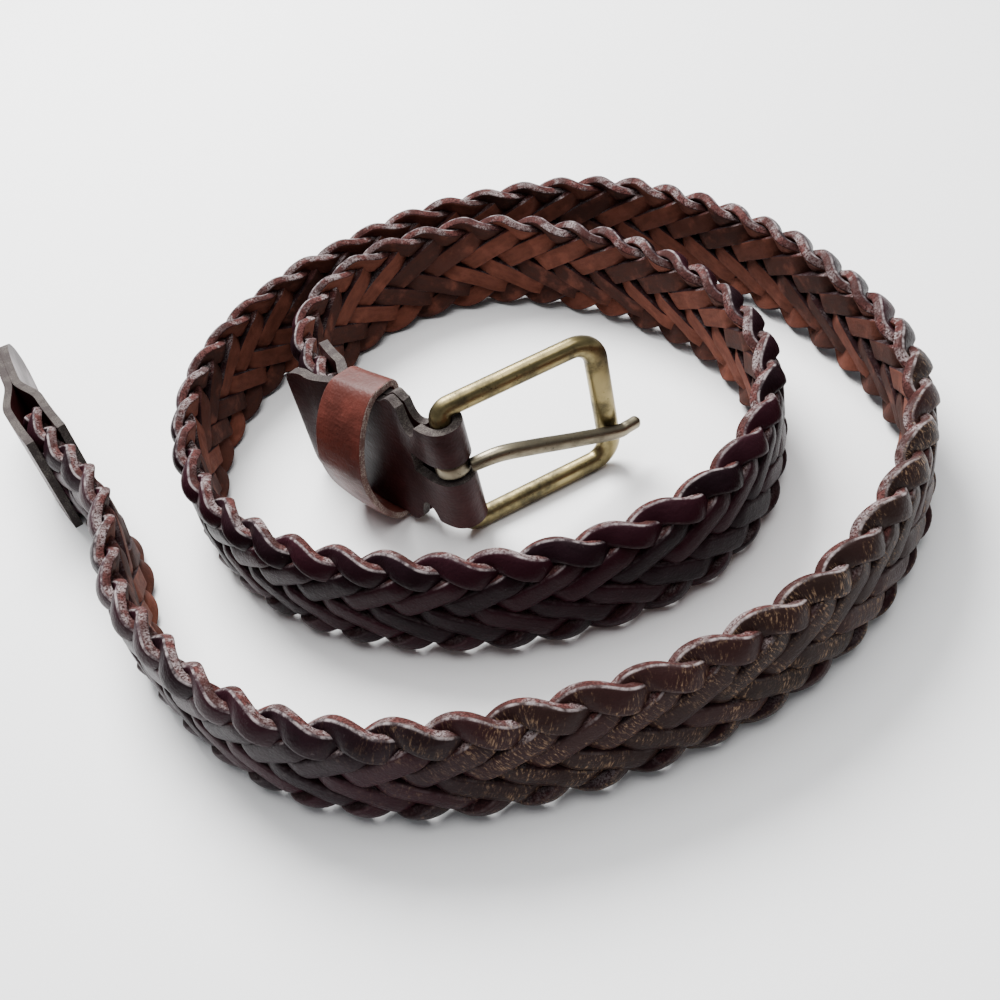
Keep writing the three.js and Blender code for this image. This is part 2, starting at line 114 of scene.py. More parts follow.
# Buckle
FRAME_HEIGHT = 40.5 * MM  # along the bar, outside
FRAME_LENGTH = 46 * MM  # across, outside
BAR_DIAMETER = 5 * MM
ARM_THICKNESS = 4.4 * MM
FAR_BAR_WIDTH = 5.8 * MM
FAR_CORNER = 6 * MM  # centre line of the rounded far corners
BUCKLE_TURN = 58  # degrees that the buckle is swung back out of the tab's line
PRONG_THICKNESS = 3.4 * MM
PRONG_OVERHANG = 4.5 * MM  # tip past the far bar
PRONG_SAG = 11 * MM  # the tip's drop below the prong's root
PRONG_WALL = 1.5 * MM  # ring round the bar
PRONG_WIDTH = 3.7 * MM
PRONG_RAISE = 1.9 * MM  # ring above the middle of the bar
PRONG_TIP = 0.4 * PRONG_THICKNESS  # length of the round tip

# End tab
END_TAB_LENGTH = 65 * MM
END_TAB_THICKNESS = 2.2 * MM  # each layer
END_TAB_OVERLAP = 18 * MM  # how far it covers the braid's end
END_TAB_POINT = 16 * MM  # length of the rounded point
END_TAB_TAPER = 14 * MM  # from the braid's end to where the layers meet
END_TAB_SEAM = 0.02 * MM  # from there each layer stays this far from the middle
END_TAB_BEVEL = 0.4 * MM

GAP = 0.3 * MM  # clearance between neighbouring pieces
SAME_PLACE = 1e-6  # places nearer than this count as one

# Weave
STRAND_SWAY = 0.2 * MM  # how far a strand wanders up and down from its even path
DEPTH_SWAY = 0.1 * MM  # the same, in and out
ROLL_SWAY = (0.08, 0.05)  # radians, a long and a short wave
WIDTH_SWAY = 0.035  # share of its width by which a strand grows and shrinks
SWAY_LENGTHS = (9, 13, 7, 17, 11, 5)  # mm per radian: height twice, depth, roll, width, roll
SWAY_SEED = 40
TONE_SEED = 70
EDGE_SHARPNESS = 0.994  # at 1 a strand would turn at the edge in a sharp corner
FIRST_DIVE = 1.5  # crossings from an edge to a strand's first change of side
DIVE_HALF = 0.66  # crossings that half a change takes
TURN_HALF = 0.8  # the same for the change at an edge
LEAN_START = 0.45  # share of the way from the middle to the edge where a strand starts to lean
STATION_STEP = 0.8 * MM  # between two sections of a strand
WORN_STRETCH = (0.66, 0.7, 0.8, 0.86)  # shares of the braid: scuffs start, are full, fade, end
# Crowns: upward-facing faces near the top edge, where the bevels get a painted highlight and the
# cut edges escape the painted shade
CROWN_HEIGHTS = (0.22, 0.42)  # shares of the width above the middle: crowns start, are full
CROWN_FACING = (0.1, 0.7)  # upward part of a face's direction: the same

# Stage
FLOOR_HALF = 2.5
SKY_COLOUR = (0.92, 0.95, 1, 1)
SKY_STRENGTH = 0.34
WINDOW = {"place": (-0.15, 0.6, 0.75), "size": 0.6, "power": 34}  # behind the coil
OVERHEAD = {"place": (0.1, -0.05, 1.0), "size": 1.0, "power": 12}
CAMERA_FROM_CENTRE = np.array([-9, -246]) * MM
CAMERA_HEIGHT = 201.6 * MM
SENSOR_WIDTH = 36  # millimetres

lobe_length = KEEPER_PLACE - KEEPER_WIDTH / 2 - GAP - NOTCH_PLACE - NOTCH_RADIUS
bar_place = np.array(frame["joints"][0]["pos_m"])
bar_height = bar_place[2]
coil_centre = bar_place[:2] - BAR_FROM_CENTRE
braid_height = BELT_WIDTH / 2
neck_width = FRAME_HEIGHT - 2 * BAR_DIAMETER - 4 * GAP
fold_offset = BAR_DIAMETER / 2 + GAP + TAB_THICKNESS / 2
braid_offset = BRAID_THICKNESS / 2 + GAP + TAB_THICKNESS / 2
pinch_offset = TAB_THICKNESS / 2 + GAP / 2
far_bar_place = FRAME_LENGTH - BAR_DIAMETER / 2 - FAR_BAR_WIDTH / 2
slot_half = (PRONG_WIDTH + 6 * GAP) / 2


def smoothstep(value, low, high):
    """0 below low, 1 above high, and 3t^2 - 2t^3 between them."""
    t = np.clip((value - low) / (high - low), 0, 1)
    return t * t * (3 - 2 * t)


def lerp(a, b, share):
    """a at share 0, b at share 1, and even between them."""
    return a + (b - a) * share


def bezier(handles, count):
    """Places on a cubic curve from the first of four handles up to the last, which is left out."""
    a, b, c, d = np.array(handles)
    t = np.linspace(0, 1, count, endpoint=False)[:, None]
    return a * (1 - t) ** 3 + 3 * b * (1 - t) ** 2 * t + 3 * c * (1 - t) * t * t + d * t**3


def through_rows(rows, slopes, place):
    """Curve through rows at places counted in rows: cubics that keep each row and its slope."""
    row = np.clip(place.astype(int), 0, len(rows) - 2)
    t = (place - row)[:, None]
    curve = lerp(rows[row], rows[row + 1], t * t * (3 - 2 * t))
    return curve + slopes[row] * t * (1 - t) ** 2 + slopes[row + 1] * t * t * (t - 1)


def coil_points(turn):
    """Centre line of the coil: the reach follows its rows, and the angle falls with turn."""
    rows = np.array(COIL_ROWS)[:, None]
    growth = np.gradient(rows, axis=0)
    growth[0], growth[-1] = COIL_LEAD_IN, COIL_LEAD_OUT
    angle = np.radians(COIL_START_ANGLE - turn)
    reach = through_rows(rows, growth, turn / COIL_STEP) * COIL_REACH
    return reach * np.stack([np.cos(angle), np.sin(angle)], 1)


def heading(degrees):
    """Direction of length 1 at that angle from +X."""
    return np.array([math.cos(math.radians(degrees)), math.sin(math.radians(degrees))])


def unit(vectors):
    """The same directions at length 1."""
    return vectors / np.linalg.norm(vectors, axis=-1, keepdims=True)


def route_points():
    """The belt from above: a cubic Bezier for the tab, the coil, and a tail on an even bend."""
    tab_steps, steps_per_degree, tail_steps = 240, 4, 160
    full_turn = (len(COIL_ROWS) - 1) * COIL_STEP
    coil = coil_points(np.linspace(0, full_turn, steps_per_degree * full_turn + 1))
    first = unit(coil[1] - coil[0])
    handles = (
        BAR_FROM_CENTRE,
        BAR_FROM_CENTRE + TAB_BEND * heading(TAB_HEADING),
        coil[0] - TAB_BEND * first,
        coil[0],
    )
    tab = bezier(handles, tab_steps)
    last = coil[-1] - coil[-2]
    bend = math.radians(TAIL_CURL) * np.arange(tail_steps) / tail_steps
    angle = math.atan2(last[1], last[0]) - bend
    step = TAIL_LENGTH / tail_steps * np.stack([np.cos(angle), np.sin(angle)], 1)
    return np.concatenate([tab, coil, coil[-1] + np.cumsum(step, 0)]) + coil_centre


class Route:
    """Places along the belt by distance from the buckle's bar, with the grain side's direction."""

    reach = 1.5 * MM  # half the chord that gives a direction

    def __init__(self, points):
        self.points = points
        steps = np.linalg.norm(np.diff(points, axis=0), axis=1)
        self.places = np.concatenate([[0], np.cumsum(steps)])
        self.length = self.places[-1]

    def point(self, distance):
        """Place seen from above, even between the listed points."""
        columns = [np.interp(distance, self.places, self.points[:, k]) for k in (0, 1)]
        return np.stack(columns, -1)

    def at(self, distance):
        """Place, direction along the belt, and direction out of the coil."""
        point = self.point(distance)
        along = unit(self.point(distance + self.reach) - self.point(distance - self.reach))
        return point, along, np.stack([-along[..., 1], along[..., 0]], -1)


route = Route(route_points())
braid_start = BRAID_TUCK
braid_end = route.length - END_TAB_LENGTH + END_TAB_OVERLAP
scallop_pitch = (braid_end - braid_start) / round((braid_end - braid_start) / EDGE_PITCH)
lift_start = KEEPER_PLACE - KEEPER_WIDTH
lift_end = TAB_BACK_LENGTH + BELT_WIDTH


def centre_height(distance):
    """Height of the strap's middle: level with the bar, then down to the floor in the coil."""
    return lerp(bar_height, braid_height, smoothstep(distance, lift_start, lift_end))


def lean_at(distance):
    """Slope by which the strap's lower edge stands out: none at the bar, most at the keeper."""
    keeper_edge = KEEPER_PLACE - KEEPER_WIDTH / 2
    rises = smoothstep(distance, 0, keeper_edge)
    falls = smoothstep(distance, keeper_edge, BRAID_TUCK)
    return math.tan(math.radians(TAB_LEAN)) * rises * (1 - falls)


def strap_point(distance, offset, rise):
    """Place on the belt: out by offset less the lean at that height, up by rise from the middle."""
    distance, offset, rise = np.broadcast_arrays(distance, offset, rise)
    point, _, out = route.at(distance)
    plan = point + out * (offset - rise * lean_at(distance))[..., None]
    return np.concatenate([plan, (centre_height(distance) + rise)[..., None]], -1)


def buckle_point(local):
    """Place of a point given in the buckle's directions: x to the far bar, y back, z up the bar."""
    turn = math.radians(TAB_HEADING - 180 + BUCKLE_TURN)
    x = local[..., 0] * math.cos(turn) - local[..., 1] * math.sin(turn)
    y = local[..., 0] * math.sin(turn) + local[..., 1] * math.cos(turn)
    return np.stack([x, y, local[..., 2]], -1) + bar_place


# Meshes from grids


def grid_quads(rows, columns, wrap_rows=False, wrap_columns=False):
    """Corner indexes of each cell of a grid of points, and the cell's row and column."""
    i, j = np.meshgrid(
        np.arange(rows if wrap_rows else rows - 1),
        np.arange(columns if wrap_columns else columns - 1),
        indexing="ij",
    )
    i, j = i.ravel(), j.ravel()
    i_next, j_next = (i + 1) % rows, (j + 1) % columns
    here, there = i * columns, i_next * columns
    return np.stack([here + j, here + j_next, there + j_next, there + j], 1), i, j


def add_object(name, data):
    """A new object in the scene."""
    made = bpy.data.objects.new(name, data)
    bpy.context.scene.collection.objects.link(made)
    return made


def make_piece(name, vertices, faces, materials, face_uv=None, values=None):
    """A mesh object at the origin. values are point attributes, face_uv one pair per corner."""
    mesh = bpy.data.meshes.new(name)
    mesh.from_pydata(vertices.reshape(-1, 3).tolist(), [], faces)
    for material in materials:
        mesh.materials.append(material)
    if face_uv is not None:
        layer = mesh.uv_layers.new(name="UVMap")
        layer.uv.foreach_set("vector", np.asarray(face_uv, np.float32).ravel())
    for key, data in (values or {}).items():
        attribute = mesh.attributes.new(key, "FLOAT", "POINT")
        attribute.data.foreach_set("value", np.asarray(data, np.float32).ravel())
    mesh.polygons.foreach_set("use_smooth", np.ones(len(mesh.polygons), bool))
    shape = bmesh.new()
    shape.from_mesh(mesh)
    bmesh.ops.recalc_face_normals(shape, faces=shape.faces)
    shape.to_mesh(mesh)
    shape.free()
    mesh.update()
    return add_object(name, mesh)


def tube_piece(name, rings, materials, closed=False, values=None, uv=None):
    """A skin through rings of points (stations, sides, 3), with flat end faces or joined round."""
    stations, sides = rings.shape[:2]
    quads, i, j = grid_quads(stations, sides, wrap_rows=closed, wrap_columns=True)
    faces = quads.tolist()
    corners = None
    if uv is not None:
        along, around = uv
        u = np.stack([along[i], along[i], along[i + 1], along[i + 1]], 1)
        v = np.stack([around[j], around[j + 1], around[j + 1], around[j]], 1)
        corners = np.stack([u, v], -1).reshape(-1, 2)
    if not closed:
        first = list(range(sides))
        faces += [first[::-1], [(stations - 1) * sides + k for k in first]]
        if corners is not None:
            corners = np.concatenate([corners, np.zeros((2 * sides, 2))])
    return make_piece(name, rings, faces, materials, corners, values)


def oval(power, count):
    """Points round a section 1 wide and high: an ellipse at power 1, boxier below."""
    angle = np.linspace(0, 2 * math.pi, count, endpoint=False)
    circle = np.stack([np.cos(angle), np.sin(angle)])
    return np.sign(circle) * np.abs(circle) ** power / 2


def carry(centre, across, outward, x, y):
    """Rings of a section carried along a centre line: centre + across x + outward y."""
    return centre[:, None] + across[:, None] * x[..., None] + outward[:, None] * y[..., None]


def thicken(piece, thickness, bevel):
    """Walls of an even thickness about the middle surface, with softened rims of material 1."""
    wall = piece.modifiers.new("wall", "SOLIDIFY")
    wall.thickness = thickness
    wall.offset = 0
    wall.use_even_offset = True
    wall.material_offset_rim = 1
    edges = piece.modifiers.new("edges", "BEVEL")
    edges.width = bevel
    edges.segments = 3
    edges.limit_method = "ANGLE"
    edges.angle_limit = math.radians(50)
    edges.harden_normals = True


def dress(piece, body, slot, *nodes):
    """Lets a piece move with a body, and stand for nodes of the solids."""
    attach(piece, body)
    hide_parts(*nodes)


# Materials

DARK_EDGE = (0.02, 0.011, 0.01)  # fibres in the raw edges of both tabs


class Shader:
    """A few short calls to lay out a procedural material."""

    def __init__(self, name):
        self.material = bpy.data.materials.new(name)
        self.material.use_nodes = True
        self.tree = self.material.node_tree
        self.surface = self.tree.nodes["Principled BSDF"]

    def feed(self, node, inputs):
        """Links or sets inputs by number, or by name with _ for a space."""
        for key, value in inputs.items():
            socket = node.inputs[key if isinstance(key, int) else key.replace("_", " ")]
            if isinstance(value, bpy.types.NodeSocket):
                self.tree.links.new(value, socket)
            else:
                socket.default_value = value

    def node(self, kind, **inputs):
        """A new node with its inputs fed."""
        made = self.tree.nodes.new(kind)
        self.feed(made, inputs)
        return made

    def place(self, source, stretch=(1, 1, 1)):
        """Object: metres in the frame of the solids. UV: metres along and share round a strand."""
        coordinates = self.node("ShaderNodeTexCoord").outputs[source]
        return self.node("ShaderNodeMapping", Vector=coordinates, Scale=stretch).outputs["Vector"]

    def attribute(self, name):
        """A number that the mesh holds at its points."""
        made = self.node("ShaderNodeAttribute")
        made.attribute_name = name
        return made.outputs["Fac"]

    def noise(self, scale, detail=4.0, roughness=0.55, vector=None):
        """Clouds from 0 to 1, scale of them to one unit of vector, with finer ones inside."""
        vector = vector or self.place("Object")
        made = self.node(
            "ShaderNodeTexNoise", Vector=vector, Scale=scale, Detail=detail, Roughness=roughness
        )
        return made.outputs["Fac"]

    def cells(self, scale):
        """Distance to the nearest of points scattered scale to the metre."""
        made = self.node("ShaderNodeTexVoronoi", Vector=self.place("Object"), Scale=scale)
        return made.outputs["Distance"]

    def spread(self, value, low, high, to_low=0.0, to_high=1.0):
        """value from low to high becomes to_low to to_high, and stays there past both ends."""
        ends = {"From_Min": low, "From_Max": high, "To_Min": to_low, "To_Max": to_high}
        made = self.node("ShaderNodeMapRange", Value=value, **ends)
        made.interpolation_type = "SMOOTHSTEP"
        return made.outputs["Result"]

    def math(self, operation, a, b=0.0):
        """One operation on a and b. ABSOLUTE leaves b out."""
        made = self.node("ShaderNodeMath")
        made.operation = operation
        self.feed(made, {0: a, 1: b})
        return made.outputs[0]

    def mix(self, share, a, b):
        """Colour a at share 0 and colour b at share 1."""
        a, b = (c if isinstance(c, bpy.types.NodeSocket) else (*c, 1) for c in (a, b))
        made = self.node("ShaderNodeMix")
        made.data_type = "RGBA"
        self.feed(made, {0: share, 6: a, 7: b})  # 6 and 7 take colours, and output 2 gives one
        return made.outputs[2]

    def bump(self, height, depth, strength, below=None):
        """Direction of a surface raised by height times depth, over the relief below."""
        made = self.node("ShaderNodeBump", Height=height, Distance=depth, Strength=strength)
        if below is not None:
            self.feed(made, {"Normal": below})
        return made.outputs["Normal"]

    def finish(self, **inputs):
        """Feeds the surface and gives the material."""
        self.feed(self.surface, inputs)
        return self.material


def tint(colour, shares):
    """The colour times one share, or times a share for each channel."""
    return tuple(np.multiply(colour, shares))


def strand_leather(name, grain, rim, cut, flesh, flesh_dark, worn):
    """Strand leather: glossy dark grain, bevels rubbed light and given a painted highlight,
    speckled cut edges with painted shade, and a matt flesh side.

    The attribute side is 1 on the grain, 0 on the cut edge and -1 on the flesh side. tone is a
    random share for each stretch of strand, crown is 1 on the upper faces of the top scallops,
    where the bevel gets a painted highlight and the cut edge is spared the painted shade, and wear
    is 1 on the stretch of belt with a scuffed finish.
    """
    s = Shader(name)
    side, tone, crown, wear = (s.attribute(key) for key in ("side", "tone", "crown", "wear"))
    blotch = s.noise(130, 3)
    fibre = s.noise(2200, 5, 0.7)
    lines = s.noise(1.0, 4, 0.6, s.place("UV", (260, 14, 1)))

    # Grain: redder by stretch, scuffed, and rubbed pale where it is worn
    deep = tint(grain, 0.62)
    grain_colour = s.mix(s.spread(blotch, 0.35, 0.68), deep, grain)
    reddened = s.spread(tone, 0.2, 1.0, 0, 0.55)
    grain_colour = s.mix(reddened, grain_colour, tint(grain, (2.4, 1.3, 1.5)))
    scuffs = s.spread(s.noise(420, 6, 0.75), 0.62, 0.76, 0, 0.14)
    grain_colour = s.mix(scuffs, grain_colour, rim)
    scratches = s.noise(1.0, 5, 0.7, s.place("UV", (2600, 9, 1)))
    patches = s.spread(s.noise(95, 5, 0.7), 0.42, 0.6)
    rubbed = s.spread(scratches, 0.5, 0.68, 0, 0.85)
    rubbed = s.math("MULTIPLY", rubbed, s.math("MULTIPLY", patches, wear))
    grain_colour = s.mix(s.spread(wear, 0, 1, 0, 0.4), grain_colour, tint(worn, 0.08))
    grain_colour = s.mix(rubbed, grain_colour, worn)

    # Flesh side: two tones, streaked along the strand, with paler clouds
    flesh_colour = s.mix(s.spread(tone, 0.42, 0.58), flesh, flesh_dark)
    flesh_colour = s.mix(s.spread(lines, 0.35, 0.7, 0, 0.55), flesh_colour, tint(flesh, 0.5))
    paler = s.spread(s.noise(180, 5), 0.5, 0.75, 0, 0.5)
    flesh_colour = s.mix(paler, flesh_colour, tint(flesh, 1.7))

    # Cut edges: pale clouds and dark fibres, and painted shade that darkens them towards the
    # grain's dark tone everywhere except on the upward-facing crowns
    pale = s.spread(s.noise(190, 5, 0.65), 0.44, 0.6, 0, 0.8)
    cut_colour = s.mix(pale, cut, tint(rim, 0.8))
    cut_colour = s.mix(s.spread(fibre, 0.42, 0.6), cut_colour, tint(cut, 0.3))
    cut_colour = s.mix(s.spread(blotch, 0.42, 0.62, 0, 0.8), cut_colour, tint(cut, 0.3))
    # Painted shade: the cut edge turns 75% dark away from the crowns, and keeps its lighter colour
    # where it faces up near the top
    cut_colour = s.mix(s.spread(crown, 0, 0.6, 0.75, 0), cut_colour, deep)

    # The three faces side by side, and on the bevel between grain and cut some rubbed wear and a
    # painted highlight, strongest on the upward-facing crowns
    on_grain = s.spread(side, 0.3, 0.5)
    on_flesh = s.spread(side, -0.6, -0.35, 1, 0)
    colour = s.mix(on_grain, s.mix(on_flesh, cut_colour, flesh_colour), grain_colour)
    bevel = s.spread(s.math("ABSOLUTE", s.math("SUBTRACT", side, 0.55)), 0.03, 0.2, 1, 0)
    # Painted highlight on the bevel, with some rubbed wear: noise times the bevel, much stronger on
    # the upward-facing crowns
    bevel_wear_and_highlight = s.math("MULTIPLY", bevel, s.spread(s.noise(340, 5, 0.7), 0.4, 0.66, 0.05, 0.7))
    bevel_wear_and_highlight = s.math("MULTIPLY", bevel_wear_and_highlight, s.spread(crown, 0, 0.8, 0.12, 1))
    colour = s.mix(bevel_wear_and_highlight, colour, rim)

    rough = s.spread(side, 0.3, 0.6, 0.85, 0.36)
    rough = s.math("ADD", rough, s.spread(fibre, 0.3, 0.7, -0.03, 0.1))
    rough = s.math("ADD", rough, s.spread(rubbed, 0, 1, 0, 0.25))
    pores = s.bump(s.cells(1500), 0.00012, 0.35)
    creases = s.bump(s.noise(260, 6, 0.65), 0.0006, 0.45, pores)
    normal = s.bump(lines, 0.0004, 0.3, creases)
    return s.finish(
        Base_Color=colour,
        Roughness=rough,
        Normal=normal,
        Specular_IOR_Level=0.06,
        Coat_Weight=0.02,
        Coat_Roughness=0.2,
    )


def smooth_leather(name, colour, roughness, wrinkle):
    """Smooth strap leather: fine pores, soft wrinkles, darker clouds and light rubbed spots."""
    s = Shader(name)
    clouds = s.noise(70, 4)
    tone = s.mix(s.spread(clouds, 0.35, 0.7), tint(colour, 0.5), colour)
    rubbed = s.spread(s.noise(300, 7, 0.75), 0.58, 0.75, 0, 0.3)
    tone = s.mix(rubbed, tone, tuple(np.multiply(colour, 2.4) + 0.008))
    rough = s.spread(clouds, 0.3, 0.7, roughness + 0.1, roughness - 0.04)
    rough = s.math("ADD", rough, s.spread(rubbed, 0, 0.3, 0, 0.12))
    pores = s.bump(s.cells(1300), 0.00012, 0.4)
    folds = s.noise(1.0, 5, 0.6, s.place("Object", (90, 90, 330)))
    normal = s.bump(folds, 0.0007 * wrinkle, 0.5, pores)
    return s.finish(
        Base_Color=tone,
        Roughness=rough,
        Normal=normal,
        Specular_IOR_Level=0.11,
        Coat_Weight=0.03,
        Coat_Roughness=0.22,
    )


def raw_edge(name, light, dark):
    """Cut leather: a rough pale rim speckled with dark fibres."""
    s = Shader(name)
    fibre = s.noise(3000, 6, 0.75)
    colour = s.mix(s.spread(fibre, 0.36, 0.6), light, dark)
    colour = s.mix(s.spread(s.noise(260, 5, 0.65), 0.42, 0.6, 0, 0.85), colour, dark)
    return s.finish(Base_Color=colour, Roughness=0.85, Normal=s.bump(fibre, 0.0005, 0.8))


def strap_leathers(name, colour, roughness, wrinkle, light_edge, dark_edge):
    """The two materials of a strap: its leather, and the raw edge round its rims."""
    leather = smooth_leather(f"{name} leather", tuple(colour), roughness, wrinkle)
    return [leather, raw_edge(f"{name} raw edge", light_edge, dark_edge)]


def aged_brass(name, bright, patina, roughness):
    """Brass under a thin dull patina, with brighter rubbed places, pits and fine scratches."""
    s = Shader(name)
    clouds = s.noise(110, 5, 0.6)
    spots = s.noise(650, 4, 0.6)
    dull = s.math("MULTIPLY", s.spread(clouds, 0.38, 0.62), s.spread(spots, 0.3, 0.6, 0.55, 1))
    colour = s.mix(dull, bright, patina)
    pits = s.spread(s.cells(900), 0.0, 0.28, 1, 0)
    pits = s.math("MULTIPLY", pits, s.spread(s.noise(240, 3), 0.52, 0.62))
    colour = s.mix(pits, colour, tint(patina, 0.25))
    rough = s.spread(dull, 0, 1, roughness, roughness + 0.16)
    rough = s.math("ADD", rough, s.spread(pits, 0, 1, 0, 0.2))
    scratches = s.noise(1.0, 4, 0.7, s.place("Object", (700, 700, 60)))
    normal = s.bump(pits, 0.00015, -0.5, s.bump(scratches, 0.0001, 0.3))
    return s.finish(Base_Color=colour, Roughness=rough, Metallic=1.0, Normal=normal)


# Settings


def size_property(name, description, default):
    """A length in metres."""
    kind = {"unit": "LENGTH", "subtype": "DISTANCE", "precision": 4}
    return bpy.props.FloatProperty(
        name=name, description=description, default=default, min=0, **kind
    )


def angle_property(name, description, default):
    """An angle in radians, shown in degrees."""
    return bpy.props.FloatProperty(
        name=name, description=description, default=default, subtype="ANGLE"
    )


def colour_property(name, description, default):
    """A colour in linear light."""
    return bpy.props.FloatVectorProperty(
        name=name, description=description, default=default, size=3, min=0, max=1, subtype="COLOR"
    )


class BraidSettings(bpy.types.PropertyGroup):
    """Sizes and colours of the strands"""

    strand_count: bpy.props.IntProperty(
        name="Strands",
        description="Strands in the braid, an odd number",
        default=9,
        min=5,
        max=13,
        subtype="UNSIGNED",
    )
    strand_width: size_property("Strand width", "Across one flat strand", 5.45 * MM)
    strand_thickness: size_property("Strand thickness", "Through one flat strand", 2.6 * MM)
    edge_lean: angle_property("Edge lean", "Roll of a strand where it turns at an edge", 0.55)
    grain: colour_property("Grain", "Finished side, out of the coil", (0.0135, 0.0052, 0.0078))
    # Bevel colour: mostly the painted highlight on the upper bevels, and also the scuffs on the
    # grain and the pale clouds in the cut edges
    rim: colour_property("Bevel", "Light rims of the grain side", (0.36, 0.31, 0.31))
    cut: colour_property("Cut edge", "Raw edge of a strand", (0.085, 0.03, 0.027))
    flesh: colour_property("Flesh", "Back of the strands", (0.108, 0.035, 0.023))
    flesh_dark: colour_property("Dark flesh", "Darker backs", (0.035, 0.015, 0.012))
    worn: colour_property("Worn", "Scuffs in the worn stretch", (0.32, 0.2, 0.12))


class LeatherSettings(bpy.types.PropertyGroup):
    """Colours of the tabs and the keeper"""

    tab: colour_property("Tab", "Folded strip at the buckle", (0.04, 0.0085, 0.009))
    keeper: colour_property("Keeper", "Loop for the free end", (0.12, 0.03, 0.022))
    edge: colour_property("Raw edge", "Cut edges of tab and keeper", (0.55, 0.47, 0.4))


class BuckleSettings(bpy.types.PropertyGroup):
    """Colours of the brass"""

    brass: colour_property("Brass", "Rubbed metal", (0.23, 0.185, 0.085))
    patina: colour_property("Patina", "Aged metal", (0.066, 0.056, 0.032))
    prong: colour_property("Prong", "Greyer metal of the prong", (0.19, 0.165, 0.115))


class StageSettings(bpy.types.PropertyGroup):
    """Floor and camera"""

    floor: colour_property("Floor", "Plain floor", (0.86, 0.86, 0.86))
    lens: bpy.props.FloatProperty(
        name="Lens", description="Focal length in millimetres", default=43.2, min=1, unit="CAMERA"
    )
    tilt: angle_property("Tilt", "Camera below the horizon", math.radians(42))
    roll: angle_property("Roll", "Camera turned in its hand", math.radians(-14.7))


# Braid


def crossings(strand, distance):
    """How many strands this one has met, in shares too. Neighbours are two apart."""
    return (distance - braid_start) / (scallop_pitch / 2) + 2 * strand


def strand_centre(strand, count, width, thickness, distance):
    """Height and depth of a strand's middle.

    The height is a zigzag with rounded tips, asin(k sin x) / asin(k). The depth changes side as it
    passes under one, over some, under some and over one, and turns at the edge.
    """
    crossing = crossings(strand, distance)
    reach = (BELT_WIDTH - width) / 2 - STRAND_SWAY
    swing = np.sin(math.pi * crossing / count - math.pi / 2)
    height = reach * np.arcsin(EDGE_SHARPNESS * swing) / math.asin(EDGE_SHARPNESS)
    passed = crossing % count
    floats = (count - 3) / 2
    depth = 1 - 2 * smoothstep(passed, -TURN_HALF, TURN_HALF)
    for place, sign, half in (
        (FIRST_DIVE, 1, DIVE_HALF),
        (FIRST_DIVE + floats, -1, DIVE_HALF),
        (FIRST_DIVE + 2 * floats, 1, DIVE_HALF),
        (count, -1, TURN_HALF),
    ):
        depth = depth + 2 * sign * smoothstep(passed, place - half, place + half)
    return height, depth * (BRAID_THICKNESS - thickness) / 2


def stretch_tones(strand, count, distance):
    """A random share for each long dive of a strand, and for what lies between two of them."""
    floats = (count - 3) / 2
    passed = crossings(strand, distance) + count - FIRST_DIVE - 2 * floats
    stretch = 2 * (passed // count).astype(int) + (passed % count > count - floats)
    return np.random.default_rng(TONE_SEED + strand).uniform(0, 1, stretch.max() + 1)[stretch]


def strand_profile(width, thickness):
    """Section of a strand: 16 points round a flat bar with bevels, x across and y out.

    Also each point's side: 1 on the grain, 0.6 on the bevel, 0 on the cut and -1 on the flesh.
    """
    w, t = width / 2, thickness / 2
    bevel, back_bevel, swell = 0.85 * MM, 0.4 * MM, 0.2 * MM
    half = (
        (w / 3, t + swell, 1), (w - bevel, t, 0.85),
        (w - 0.35 * bevel, t - 0.22 * bevel, 0.6), (w - 0.02 * bevel, t - 0.85 * bevel, 0.35),
        (w, -t + back_bevel, 0), (w - 0.25 * back_bevel, -t + 0.25 * back_bevel, -0.3),
        (w - back_bevel, -t, -0.9), (w / 3, -t, -1),
    )
    return np.array(half + tuple((-x, y, side) for x, y, side in half[::-1]))


